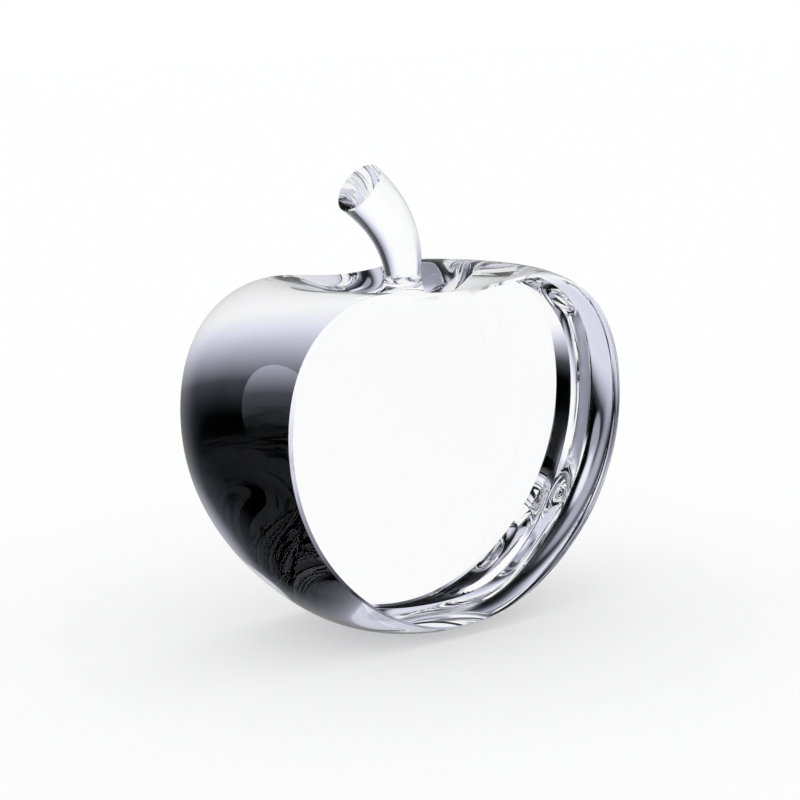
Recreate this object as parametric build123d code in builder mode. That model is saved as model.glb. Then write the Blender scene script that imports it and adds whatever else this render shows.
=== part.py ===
from build123d import *
import math
import os

# Apple-shaped crystal ornament: a turned body ground flat at front and back, with a glued stem.
# Millimetres, +Z up. The origin is the centre of the base, and the front face looks along -Y.

# Crystal body
body_radius = 40.0
body_thickness = 34.4
equator_height = 39.5
crown_height = 62.0
crown_radius = 23.3
base_radius = 11.0
base_slope = 12.5
dimple_depth = 4.0
arris_bevel = 0.55

# Points between them on the body's outline, as shares of the sizes that they follow
low_flank_radius_share = 0.62
low_flank_height_share = 0.19
high_flank_radius_share = 0.903
high_flank_height_share = 0.557
shoulder_radius_share = 0.846
shoulder_height_share = 0.78
dimple_middle_radius_share = 0.5
dimple_middle_height_share = 0.52

# Stem
stem_foot_radius = 2.6
stem_tip_radius = 4.8
stem_swell_share = 0.55
stem_reach = 8.9
stem_rise = 20.0
stem_foot_lean = -8.8
stem_tip_lean = 52.7
stem_foot_handle_share = 0.416
stem_tip_handle_share = 0.455
stem_rim_bevel = 0.25
stem_sections = 7

# Clear adhesive that holds the stem: a film under its foot and a collar drawn up round it
bond_film = 0.15
bond_foot_radius = 5.2
bond_lip = 0.12
bond_waist = 0.6
bond_waist_share = 0.09
bond_top_share = 0.17

# One overrun for every cut
overrun = 5.0

half_thickness = body_thickness / 2
seat_height = crown_height - dimple_depth
seat_radius = bond_foot_radius
stem_foot_height = seat_height + bond_film

os.makedirs("parts", exist_ok=True)


def stem_radius(share):
    """Radius of the stem at a share of the way from its foot to its tip."""
    swell = share + stem_swell_share * share * (1 - share)
    return stem_foot_radius + (stem_tip_radius - stem_foot_radius) * swell


def leaning(degrees):
    """Direction that leans towards -X from straight up."""
    lean = math.radians(degrees)
    return Vector(-math.sin(lean), 0, math.cos(lean))


# Crystal body: one outline from the base's edge over the shoulder and down into the dimple
shoulder_rise = crown_height - equator_height
dimple_run = crown_radius - seat_radius
outline_points = [
    (base_radius, 0),
    (low_flank_radius_share * body_radius, low_flank_height_share * equator_height),
    (high_flank_radius_share * body_radius, high_flank_height_share * equator_height),
    (body_radius, equator_height),
    (shoulder_radius_share * body_radius, equator_height + shoulder_height_share * shoulder_rise),
    (crown_radius, crown_height),
    (
        seat_radius + dimple_middle_radius_share * dimple_run,
        seat_height + dimple_middle_height_share * dimple_depth,
    ),
    (seat_radius, seat_height),
]
base_direction = (math.cos(math.radians(base_slope)), math.sin(math.radians(base_slope)))
seat_direction = (-1, 0)

with BuildPart() as crystal_body:
    with BuildSketch(Plane.XZ):
        with BuildLine():
            Line((0, 0), (base_radius, 0))
            Spline(*outline_points, tangents=[base_direction, seat_direction])
            Polyline((seat_radius, seat_height), (0, seat_height), (0, 0))
        make_face()
    revolve(axis=Axis.Z)
    # The front and back are ground flat, down to where their polished bevels begin
    for side in (-1, 1):
        with BuildSketch(Plane.XZ.offset(side * (half_thickness - arris_bevel))):
            Rectangle(2 * (body_radius + overrun), 2 * (crown_height + overrun))
        extrude(amount=side * (body_radius + overrun), mode=Mode.SUBTRACT)
    # Each bevel runs in to a smaller copy of the face's outline
    shrink = 1 - arris_bevel / body_radius
    for ground_face in crystal_body.faces().filter_by(Axis.Y):
        middle = ground_face.center(CenterOf.BOUNDING_BOX)
        outward = ground_face.normal_at() * arris_bevel
        inset = Vector(middle.X, 0, middle.Z) * (1 - shrink)
        face_outline = scale(ground_face, by=(shrink, 1, shrink), mode=Mode.PRIVATE)
        loft([ground_face, face_outline.faces()[0].moved(Location(inset + outward))], ruled=True)
crystal_body.part.label = "crystal_body"
export_step(crystal_body.part, "parts/crystal_body.step")


# Stem: circles that swell along a curved centre line, with a square-cut end
stem_foot = Vector(0, 0, stem_foot_height)
stem_tip = Vector(-stem_reach, 0, stem_foot_height + stem_rise)

with BuildPart() as stem:
    with BuildLine():
        centre_line = Bezier(
            stem_foot,
            stem_foot + leaning(stem_foot_lean) * (stem_foot_handle_share * stem_rise),
            stem_tip - leaning(stem_tip_lean) * (stem_tip_handle_share * stem_rise),
            stem_tip,
        )
    for number in range(stem_sections):
        share = number / (stem_sections - 1)
        with BuildSketch(Plane(origin=centre_line @ share, z_dir=centre_line % share)):
            Circle(stem_radius(share))
    loft()
    # The foot is ground level with the seat
    with BuildSketch(Plane.XY.offset(stem_foot_height)):
        Rectangle(2 * stem_tip_radius, 2 * stem_tip_radius)
    extrude(amount=-stem_tip_radius, mode=Mode.SUBTRACT)
    tip_face = stem.faces().filter_by(GeomType.PLANE).sort_by(Axis.Z)[-1]
    chamfer(tip_face.edges(), length=stem_rim_bevel)
stem.part.label = "stem"
export_step(stem.part, "parts/stem.step")


# Stem bond
with BuildPart() as stem_bond:
    with BuildSketch(Plane.XY.offset(seat_height)):
        Circle(bond_foot_radius)
    for share, wall in ((bond_waist_share, bond_waist), (bond_top_share, bond_lip)):
        with BuildSketch(Plane(origin=centre_line @ share, z_dir=centre_line % share)):
            Circle(stem_radius(share) + wall)
    loft()
    add(stem.part, mode=Mode.SUBTRACT)
stem_bond.part.label = "stem_bond"
export_step(stem_bond.part, "parts/stem_bond.step")
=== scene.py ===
import math

import bmesh
import bpy
import numpy as np
from mathutils import Matrix, Vector


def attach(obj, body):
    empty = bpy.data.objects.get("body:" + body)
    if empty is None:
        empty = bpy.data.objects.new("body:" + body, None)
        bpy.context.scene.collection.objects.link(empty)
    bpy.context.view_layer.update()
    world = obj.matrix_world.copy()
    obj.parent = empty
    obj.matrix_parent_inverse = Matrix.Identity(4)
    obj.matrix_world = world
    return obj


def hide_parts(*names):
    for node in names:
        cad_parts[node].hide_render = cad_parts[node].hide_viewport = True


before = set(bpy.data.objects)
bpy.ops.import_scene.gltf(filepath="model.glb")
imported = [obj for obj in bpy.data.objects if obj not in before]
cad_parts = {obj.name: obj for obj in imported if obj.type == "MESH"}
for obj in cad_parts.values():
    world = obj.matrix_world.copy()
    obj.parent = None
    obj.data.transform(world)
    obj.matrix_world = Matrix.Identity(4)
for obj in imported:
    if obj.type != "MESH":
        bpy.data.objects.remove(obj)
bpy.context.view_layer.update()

# Crystal apple ornament: a solid clear body with ground faces, and a clear stem glued into its
# dimple. Sizes are in millimetres, as the part's source has them, and are turned into metres as
# meshes are made.
MM = 0.001

# Crystal body
body_radius = 40.0
body_thickness = 34.4
equator_height = 39.5
crown_height = 62.0
crown_radius = 23.3
base_radius = 11.0
base_slope = 12.5
dimple_depth = 4.0
arris_bevel = 0.55
low_flank_radius_share = 0.62
low_flank_height_share = 0.19
high_flank_radius_share = 0.903
high_flank_height_share = 0.557
shoulder_radius_share = 0.846
shoulder_height_share = 0.78
dimple_middle_radius_share = 0.5
dimple_middle_height_share = 0.52

# Stem
stem_foot_radius = 2.6
stem_tip_radius = 4.8
stem_swell_share = 0.55
stem_reach = 8.9
stem_rise = 20.0
stem_foot_lean = -8.8
stem_tip_lean = 52.7
stem_foot_handle_share = 0.416
stem_tip_handle_share = 0.455
stem_rim_bevel = 0.25

# Stem bond. Its flare says how fast the collar's wall thins above its foot.
bond_film = 0.15
bond_foot_radius = 5.2
bond_lip = 0.12
bond_top_share = 0.17
bond_flare = 2.2

half_thickness = body_thickness / 2
seat_height = crown_height - dimple_depth
seat_radius = bond_foot_radius
stem_foot_height = seat_height + bond_film

# Fineness of the meshes
OUTLINE_STEPS = 220
TURN_STEPS = 400
STEM_RINGS = 160
STEM_SIDES = 200
BOND_RINGS = 24
SEAT_TOLERANCE = 1e-6

# Places of the materials in each piece's list
CLEAR, JOINED, GROUND = 0, 1, 2

# Glass: refractive index, tint that holds back its reflections, roughness where it is ground
glass_index = 1.55
glass_tint = 0.3
ground_roughness = 0.12

# Faint cloudy tones: fineness of the clouds, then the darker and the lighter tone
crystal_clouds = (30, (0.985, 0.985, 1), (1, 1, 1))
joint_clouds = (200, (0.97, 0.97, 1), (1, 1, 1))
paper_clouds = (400, (0.99, 0.99, 1), (1, 1, 1))

# Colour sockets of a Mix node
MIX_LOW, MIX_HIGH, MIX_RESULT = 6, 7, 2


def smooth_curve(points, start, end, count):
    """Points along the smooth curve through the given points, with its directions at both ends."""
    points = np.array(points, float)
    gaps = np.linalg.norm(np.diff(points, axis=0), axis=1)
    n = len(points)
    system = np.zeros((n, n))
    right = np.zeros((n, points.shape[1]))
    system[0, 0] = system[-1, -1] = 1
    right[0], right[-1] = start, end
    for i in range(1, n - 1):
        before, after = gaps[i - 1], gaps[i]
        system[i, i - 1 : i + 2] = after, 2 * (before + after), before
        slope_before = (points[i] - points[i - 1]) / before
        slope_after = (points[i + 1] - points[i]) / after
        right[i] = 3 * (after * slope_before + before * slope_after)
    slopes = np.linalg.solve(system, right)
    at = np.concatenate([[0], np.cumsum(gaps)])
    line = []
    for s in np.linspace(0, at[-1], count):
        i = min(int(np.searchsorted(at, s, side="right")) - 1, n - 2)
        t = (s - at[i]) / gaps[i]
        line.append(
            (2 * t**3 - 3 * t**2 + 1) * points[i]
            + (t**3 - 2 * t**2 + t) * gaps[i] * slopes[i]
            + (3 * t**2 - 2 * t**3) * points[i + 1]
            + (t**3 - t**2) * gaps[i] * slopes[i + 1]
        )
    return np.array(line)


def new_piece(name, bm):
    """A smooth-shaded object made of the given mesh, turned from millimetres into metres."""
    mesh = bpy.data.meshes.new(name)
    for face in bm.faces:
        face.smooth = True
    bmesh.ops.scale(bm, vec=(MM, MM, MM), verts=bm.verts)
    bm.to_mesh(mesh)
    bm.free()
    piece = bpy.data.objects.new(name, mesh)
    bpy.context.scene.collection.objects.link(piece)
    return piece


def join_rings(bm, rings):
    """A wall of faces between each ring of points and the next."""
    for lower, upper in zip(rings, rings[1:]):
        for i in range(len(lower)):
            j = (i + 1) % len(lower)
            bm.faces.new((lower[i], lower[j], upper[j], upper[i]))


def loop_edges(bm, loop):
    """The edges between the points of a closed loop."""
    return [bm.edges.get((loop[i], loop[(i + 1) % len(loop)])) for i in range(len(loop))]


def make_sharp(edges):
    for edge in edges:
        edge.smooth = False


def body_outline():
    """The outline that is turned into the body: (radius, height) from the base to the seat."""
    shoulder_rise = crown_height - equator_height
    dimple_run = crown_radius - seat_radius
    points = [
        (base_radius, 0),
        (low_flank_radius_share * body_radius, low_flank_height_share * equator_height),
        (high_flank_radius_share * body_radius, high_flank_height_share * equator_height),
        (body_radius, equator_height),
        (
            shoulder_radius_share * body_radius,
            equator_height + shoulder_height_share * shoulder_rise,
        ),
        (crown_radius, crown_height),
        (
            seat_radius + dimple_middle_radius_share * dimple_run,
            seat_height + dimple_middle_height_share * dimple_depth,
        ),
        (seat_radius, seat_height),
    ]
    slope = math.radians(base_slope)
    return smooth_curve(points, (math.cos(slope), math.sin(slope)), (-1, 0), OUTLINE_STEPS)


def make_body():
    bm = bmesh.new()
    rings = []
    for radius, height in body_outline():
        ring = []
        for step in range(TURN_STEPS):
            turn = 2 * math.pi * (step + 0.5) / TURN_STEPS
            ring.append(bm.verts.new((radius * math.cos(turn), radius * math.sin(turn), height)))
        rings.append(ring)
    join_rings(bm, rings)
    base = bm.faces.new(list(reversed(rings[0])))
    seat = bm.faces.new(rings[-1])
    sharp = []
    for side in (-1, 1):
        sharp += grind_face(bm, side)
    make_sharp(sharp + list(base.edges) + list(seat.edges))
    bmesh.ops.recalc_face_normals(bm, faces=bm.faces)
    for face in bm.faces:
        on_seat = all(abs(v.co.z - seat_height) < SEAT_TOLERANCE for v in face.verts)
        face.material_index = JOINED if on_seat else CLEAR
    return new_piece("body_of_crystal", bm)


def grind_face(bm, side):
    """Grind one side of the body flat, with a bevel round it, and give back the bevel's edges."""
    found = bmesh.ops.bisect_plane(
        bm,
        geom=bm.verts[:] + bm.edges[:] + bm.faces[:],
        plane_co=(0, side * (half_thickness - arris_bevel), 0),
        plane_no=(0, side, 0),
        clear_outer=True,
    )
    outer = chained([e for e in found["geom_cut"] if isinstance(e, bmesh.types.BMEdge)])
    low_x, high_x = min(v.co.x for v in outer), max(v.co.x for v in outer)
    low_z, high_z = min(v.co.z for v in outer), max(v.co.z for v in outer)
    middle = Vector(((low_x + high_x) / 2, 0, (low_z + high_z) / 2))
    shrink = 1 - arris_bevel / body_radius
    inner = []
    for v in outer:
        inset = middle + (Vector((v.co.x, 0, v.co.z)) - middle) * shrink
        inner.append(bm.verts.new((inset.x, side * half_thickness, inset.z)))
    join_rings(bm, [outer, inner])
    bm.faces.new(inner)
    return loop_edges(bm, outer) + loop_edges(bm, inner)


def chained(edges):
    """The points of a closed loop of edges, in order."""
    edge = edges[0]
    left = set(edges[1:])
    start, point = edge.verts
    loop = [start, point]
    while left:
        edge = next(e for e in point.link_edges if e in left)
        left.remove(edge)
        point = edge.other_vert(point)
        if point is start:
            break
        loop.append(point)
    return loop


def leaning(degrees):
    """Direction that leans towards -X from straight up."""
    lean = math.radians(degrees)
    return Vector((-math.sin(lean), 0, math.cos(lean)))


def stem_radius(share):
    """Radius of the stem at a share of the way from its foot to its tip."""
    swell = share + stem_swell_share * share * (1 - share)
    return stem_foot_radius + (stem_tip_radius - stem_foot_radius) * swell


def centre_line(share):
    """Point and direction of the stem's centre line at a share of the way from foot to tip."""
    foot = Vector((0, 0, stem_foot_height))
    tip = Vector((-stem_reach, 0, stem_foot_height + stem_rise))
    low = foot + leaning(stem_foot_lean) * (stem_foot_handle_share * stem_rise)
    high = tip - leaning(stem_tip_lean) * (stem_tip_handle_share * stem_rise)
    rest = 1 - share
    point = (
        rest**3 * foot
        + 3 * rest**2 * share * low
        + 3 * rest * share**2 * high
        + share**3 * tip
    )
    along = rest**2 * (low - foot) + 2 * rest * share * (high - low) + share**2 * (tip - high)
    return point, along.normalized()


def ring_points(bm, centre, along, radius):
    """A ring of points round the stem's centre line."""
    across = Vector((0, 1, 0))
    up = along.cross(across)
    points = []
    for i in range(STEM_SIDES):
        turn = 2 * math.pi * i / STEM_SIDES
        offset = across * (radius * math.cos(turn)) + up * (radius * math.sin(turn))
        points.append(bm.verts.new(centre + offset))
    return points


def wall_ring(bm, step):
    """A ring of the stem's wall, from its level foot to the foot of its rim's bevel."""
    tip_speed = 3 * stem_tip_handle_share * stem_rise
    share = step / STEM_RINGS * (1 - stem_rim_bevel / tip_speed)
    point, along = centre_line(share)
    if step == 0:
        along = Vector((0, 0, 1))
    return ring_points(bm, point, along, stem_radius(share))


# The stem's rings below this one are inside the adhesive
hidden_rings = int(bond_top_share * STEM_RINGS)


def make_stem():
    bm = bmesh.new()
    rings = [wall_ring(bm, step) for step in range(STEM_RINGS + 1)]
    tip, along = centre_line(1)
    rings.append(ring_points(bm, tip, along, stem_tip_radius - stem_rim_bevel))
    join_rings(bm, rings)
    foot = bm.faces.new(list(reversed(rings[0])))
    end = bm.faces.new(rings[-1])
    make_sharp(list(foot.edges) + list(end.edges) + loop_edges(bm, rings[-2]))
    bmesh.ops.recalc_face_normals(bm, faces=bm.faces)
    for ring in rings[:hidden_rings]:
        for v in ring:
            for face in v.link_faces:
                face.material_index = JOINED
    end.material_index = GROUND
    return new_piece("stem_of_glass", bm)


def make_bond():
    bm = bmesh.new()
    outer = []
    foot_wall = bond_foot_radius - stem_foot_radius
    for step in range(BOND_RINGS + 1):
        share = step / BOND_RINGS
        at = share * bond_top_share
        point, along = centre_line(at)
        wall = bond_lip + (foot_wall - bond_lip) * (1 - share) ** bond_flare
        if step == 0:
            point, along = Vector((0, 0, seat_height)), Vector((0, 0, 1))
        outer.append(ring_points(bm, point, along, stem_radius(at) + wall))
    inner = [wall_ring(bm, step) for step in range(hidden_rings, -1, -1)]
    join_rings(bm, outer + inner)
    bm.faces.new(list(reversed(outer[0])))
    bm.faces.new(inner[-1])
    bmesh.ops.recalc_face_normals(bm, faces=bm.faces)
    outside = set(v for ring in outer for v in ring)
    lip = set(outer[-1])
    for face in bm.faces:
        is_wall = len(face.verts) == 4
        is_outer = is_wall and all(v in outside for v in face.verts)
        is_lip = is_wall and any(v in lip for v in face.verts)
        face.material_index = CLEAR if is_outer or is_lip else JOINED
    for ring in (outer[0], outer[-1], inner[0], inner[-1]):
        make_sharp(loop_edges(bm, ring))
    return new_piece("adhesive_of_stem", bm)


def new_material(name):
    """A material and its shader."""
    material = bpy.data.materials.new(name)
    material.use_nodes = True
    return material, material.node_tree.nodes["Principled BSDF"]


def cloudy_colour(material, scale, low, high):
    """Give a material's colour a faint cloudy variation between two tones."""
    tree = material.node_tree
    place = tree.nodes.new("ShaderNodeTexCoord")
    noise = tree.nodes.new("ShaderNodeTexNoise")
    noise.inputs["Scale"].default_value = scale
    tones = tree.nodes.new("ShaderNodeMix")
    tones.data_type = "RGBA"
    tones.inputs[MIX_LOW].default_value = (*low, 1)
    tones.inputs[MIX_HIGH].default_value = (*high, 1)
    tree.links.new(place.outputs["Object"], noise.inputs["Vector"])
    tree.links.new(noise.outputs["Fac"], tones.inputs["Factor"])
    tree.links.new(tones.outputs[MIX_RESULT], tree.nodes["Principled BSDF"].inputs["Base Color"])


def glass(name, roughness):
    material, shader = new_material(name)
    shader.inputs["Transmission Weight"].default_value = 1
    shader.inputs["Roughness"].default_value = roughness
    shader.inputs["IOR"].default_value = glass_index
    shader.inputs["Specular Tint"].default_value = (glass_tint, glass_tint, glass_tint, 1)
    cloudy_colour(material, *crystal_clouds)
    return material


def joined_surface(name):
    """Surface inside a glued joint, where light passes straight on."""
    material, shader = new_material(name)
    shader.inputs["Alpha"].default_value = 0
    cloudy_colour(material, *joint_clouds)
    return material


crystal = glass("crystal", 0)
joint = joined_surface("glued_joint")
ground_crystal = glass("ground_crystal", ground_roughness)

body = make_body()
body.data.materials.append(crystal)
body.data.materials.append(joint)
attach(body, "root")
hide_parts("crystal_body")

stem = make_stem()
stem.data.materials.append(crystal)
stem.data.materials.append(joint)
stem.data.materials.append(ground_crystal)
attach(stem, "root")
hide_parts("stem")

bond = make_bond()
bond.data.materials.append(crystal)
bond.data.materials.append(joint)
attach(bond, "root")
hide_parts("stem_bond")


# Camera. Distances are in metres and angles in degrees.
view_centre = Vector((0, 0, 0.032))
camera_azimuth = -37.15
camera_elevation = 12.07
camera_distance = 0.3744
camera_roll = -1.46
camera_lens = 94.5
camera_sensor_width = 36
aim_right = -0.00108
aim_up = 0.00760

azimuth = math.radians(camera_azimuth)
elevation = math.radians(camera_elevation)
behind = Vector((-math.sin(azimuth), math.cos(azimuth), 0))
back = -behind * math.cos(elevation) + Vector((0, 0, math.sin(elevation)))
across = Vector((math.cos(azimuth), math.sin(azimuth), 0))
upward = back.cross(across)
roll = math.radians(camera_roll)
rolled_across = across * math.cos(roll) + upward * math.sin(roll)
rolled_up = upward * math.cos(roll) - across * math.sin(roll)
position = view_centre + back * camera_distance
aim = view_centre + rolled_across * aim_right + rolled_up * aim_up
away = (position - aim).normalized()
side = rolled_up.cross(away).normalized()
top = away.cross(side)
camera_data = bpy.data.cameras.new("camera")
camera_data.lens = camera_lens
camera_data.sensor_width = camera_sensor_width
camera = bpy.data.objects.new("camera", camera_data)
turned = Matrix((side, top, away)).transposed().to_4x4()
camera.matrix_world = Matrix.Translation(position) @ turned
bpy.context.scene.collection.objects.link(camera)
bpy.context.scene.camera = camera

# Studio. Angles are in degrees: the bearing is 0 straight behind the object and grows to the
# camera's right. The white table's edge rises and falls round the object: its mean height, then
# its waves as (cosine, sine) pairs.
table_edge = -8.4
table_waves = ((1.9, -0.9), (3.0, -2.0), (-2.2, 3.7))
table_softness = 11.6
straight_lift = 1.1
straight_softness = 16.0
# The backdrop's sides and top as (place, half width of its soft edge), and its top's lean.
backdrop_left = (-43.6, 10.1)
backdrop_right = (21.8, 13.8)
backdrop_top = (34.9, 27.4)
backdrop_lean = 0.14
# Soft oval lamps and cards: bearing, height, half width, half height, softness, level.
lamps = (
    (-83.3, 26.9, 9.8, 10.2, 0.53, 0.88),  # window
    (-87.7, 11.9, 11.6, 10.5, 0.22, 0.43),  # card below the window
    (-62.6, 24.3, 11.2, 26.4, 0.58, 0.48),  # glow beside the window
    (-177.7, 49.4, 11.9, 14.8, 0.74, 0.72),  # lamp above the camera
    (171.8, 17.2, 31.8, 18.2, 0.10, 0.48),  # room behind the camera
    (40.0, 57.2, 30.6, 22.5, 0.68, 0.87),  # lamp overhead
    (90.8, 41.3, 15.1, 13.1, 0.10, 0.88),  # lamp at the right
    (72.2, 31.8, 19.2, 19.2, 0.82, 0.82),  # glow at the right
    (22.5, 9.7, 11.9, 10.7, 0.12, 0.31),  # card at the backdrop's right side
)
# The object's shadow on the table, painted in as a dark oval in the same terms, and the share of it
# that light inside the glass meets
table_shade = (-85.0, -45.1, 59.0, 45.0, 0.26, 1.00)
inner_shade = 0.29
# Share of glanced light that passes the filter
polariser = 0.35
# Share of the light through the glass that reaches the floor as plain white
floor_fill = 0.9
# Colours that brightness turns into
studio_tones = (
    (0.0, (0.0, 0.0, 0.0)),
    (0.18, (0.05, 0.053, 0.065)),
    (0.42, (0.33, 0.34, 0.41)),
    (0.75, (0.74, 0.755, 0.88)),
    (1.0, (1.0, 1.0, 1.0)),
)
FULL_TURN = 360.0

world = bpy.data.worlds.new("studio")
bpy.context.scene.world = world
world.use_nodes = True
nodes, links = world.node_tree.nodes, world.node_tree.links


def feed(socket, value):
    """Link a socket to another, or set it to a constant."""
    if isinstance(value, bpy.types.NodeSocket):
        links.new(value, socket)
    else:
        socket.default_value = value


def maths(operation, *values):
    node = nodes.new("ShaderNodeMath")
    node.operation = operation
    for socket, value in zip(node.inputs, values):
        feed(socket, value)
    return node.outputs[0]


def inverse(value):
    return maths("SUBTRACT", 1.0, value)


def none_yet(count):
    """1 while a ray's count of turns is still 0, and 0 from the first turn on."""
    return maths("LESS_THAN", count, 0.5)


def soft_step(value, low, high, start=0.0, end=1.0):
    node = nodes.new("ShaderNodeMapRange")
    node.interpolation_type = "SMOOTHSTEP"
    given = {"Value": value, "From Min": low, "From Max": high, "To Min": start, "To Max": end}
    for name, setting in given.items():
        feed(node.inputs[name], setting)
    return node.outputs["Result"]


def soft_edge(value, place, half_width, start=0.0, end=1.0):
    return soft_step(value, place - half_width, place + half_width, start, end)


def along_direction(direction, vector):
    node = nodes.new("ShaderNodeVectorMath")
    node.operation = "DOT_PRODUCT"
    feed(node.inputs[0], direction)
    node.inputs[1].default_value = vector
    return node.outputs["Value"]


def lamp(centre_bearing, centre_height, width, tall, softness, level):
    """Brightness of a soft-edged oval lamp."""
    off = maths("SUBTRACT", bearing, centre_bearing)
    off = maths("WRAP", off, FULL_TURN / 2, -FULL_TURN / 2)
    sideways = maths("POWER", maths("DIVIDE", off, width), 2)
    rise = maths("SUBTRACT", height, centre_height)
    upwards = maths("POWER", maths("DIVIDE", rise, tall), 2)
    reach = maths("SQRT", maths("ADD", sideways, upwards))
    return soft_step(reach, 1 - softness, 1 + softness, level, 0.0)


direction = nodes.new("ShaderNodeTexCoord").outputs["Generated"]
to_right = along_direction(direction, across)
bearing = maths("DEGREES", maths("ARCTAN2", to_right, along_direction(direction, behind)))
height = maths("DEGREES", maths("ARCSINE", along_direction(direction, (0, 0, 1))))

# Straight light has met no mirroring face, and glanced light comes off the outside of the glass.
light_path = nodes.new("ShaderNodeLightPath").outputs
straight = none_yet(light_path["Glossy Depth"])
glanced = maths("MULTIPLY", none_yet(light_path["Transmission Depth"]), light_path["Is Glossy Ray"])

edge = table_edge
for wave, (cosine, sine) in enumerate(table_waves, start=1):
    turn = maths("RADIANS", maths("MULTIPLY", bearing, float(wave)))
    edge = maths("ADD", edge, maths("MULTIPLY", maths("COSINE", turn), cosine))
    edge = maths("ADD", edge, maths("MULTIPLY", maths("SINE", turn), sine))
edge = maths("ADD", edge, maths("MULTIPLY", straight, straight_lift))
softness = maths("MULTIPLY", straight, straight_softness - table_softness)
softness = maths("ADD", softness, table_softness)
table_low, table_high = maths("SUBTRACT", edge, softness), maths("ADD", edge, softness)
table = soft_step(height, table_low, table_high, 1.0, 0.0)

leaning_height = maths("ADD", height, maths("MULTIPLY", bearing, backdrop_lean))
backdrop_sides = maths(
    "MULTIPLY", soft_edge(bearing, *backdrop_left), soft_edge(bearing, *backdrop_right, 1.0, 0.0)
)
backdrop = maths("MULTIPLY", backdrop_sides, soft_edge(leaning_height, *backdrop_top, 1.0, 0.0))

dark = maths("MULTIPLY", inverse(table), inverse(backdrop))
for shape in lamps:
    dark = maths("MULTIPLY", dark, inverse(lamp(*shape)))
inner = maths("MULTIPLY", inverse(straight), inner_shade)
# Painted shadow of the object on the table: full for glanced light, a share for light inside the
# glass
shade = maths("MULTIPLY", lamp(*table_shade), maths("MAXIMUM", glanced, inner))
bright = maths("MULTIPLY", inverse(dark), inverse(shade))

tones = nodes.new("ShaderNodeValToRGB")
stops = tones.color_ramp.elements
while len(stops) < len(studio_tones):
    stops.new(0.5)
for stop, (at, tone) in zip(stops, studio_tones):
    stop.position = at
    stop.color = (*tone, 1)
links.new(bright, tones.inputs["Fac"])

# Glanced light meets a polarising filter, and light that no glass has bent is plain white.
filtered = nodes.new("ShaderNodeVectorMath")
filtered.operation = "SCALE"
links.new(tones.outputs["Color"], filtered.inputs[0])
feed(filtered.inputs["Scale"], inverse(maths("MULTIPLY", glanced, 1 - polariser)))
bent = maths("MAXIMUM", light_path["Is Glossy Ray"], light_path["Is Transmission Ray"])
for_floor = inverse(none_yet(light_path["Diffuse Depth"]))
bent = maths("MULTIPLY", bent, inverse(maths("MULTIPLY", for_floor, floor_fill)))
seen = nodes.new("ShaderNodeMix")
seen.data_type = "RGBA"
feed(seen.inputs["Factor"], bent)
seen.inputs[MIX_LOW].default_value = (1, 1, 1, 1)
links.new(filtered.outputs[0], seen.inputs[MIX_HIGH])
background = nodes["Background"]
links.new(seen.outputs[MIX_RESULT], background.inputs["Color"])
background.inputs["Strength"].default_value = 1

# Floor, in metres
floor_size = 6.0
floor_gap = 0.0001
bm = bmesh.new()
bmesh.ops.create_grid(bm, x_segments=1, y_segments=1, size=floor_size / 2)
mesh = bpy.data.meshes.new("floor")
bm.to_mesh(mesh)
bm.free()
floor = bpy.data.objects.new("floor", mesh)
floor.location.z = -floor_gap
bpy.context.scene.collection.objects.link(floor)
floor.visible_glossy = floor.visible_transmission = False
paper, shader = new_material("floor_paper")
cloudy_colour(paper, *paper_clouds)
shader.inputs["Roughness"].default_value = 1
shader.inputs["Specular IOR Level"].default_value = 0
mesh.materials.append(paper)

# How often light may turn inside the glass
most_bounces = 32
most_inner_reflections = 14
cycles = bpy.context.scene.cycles
cycles.max_bounces = cycles.transmission_bounces = most_bounces
cycles.glossy_bounces = most_inner_reflections
bpy.context.scene.view_settings.view_transform = "Standard"
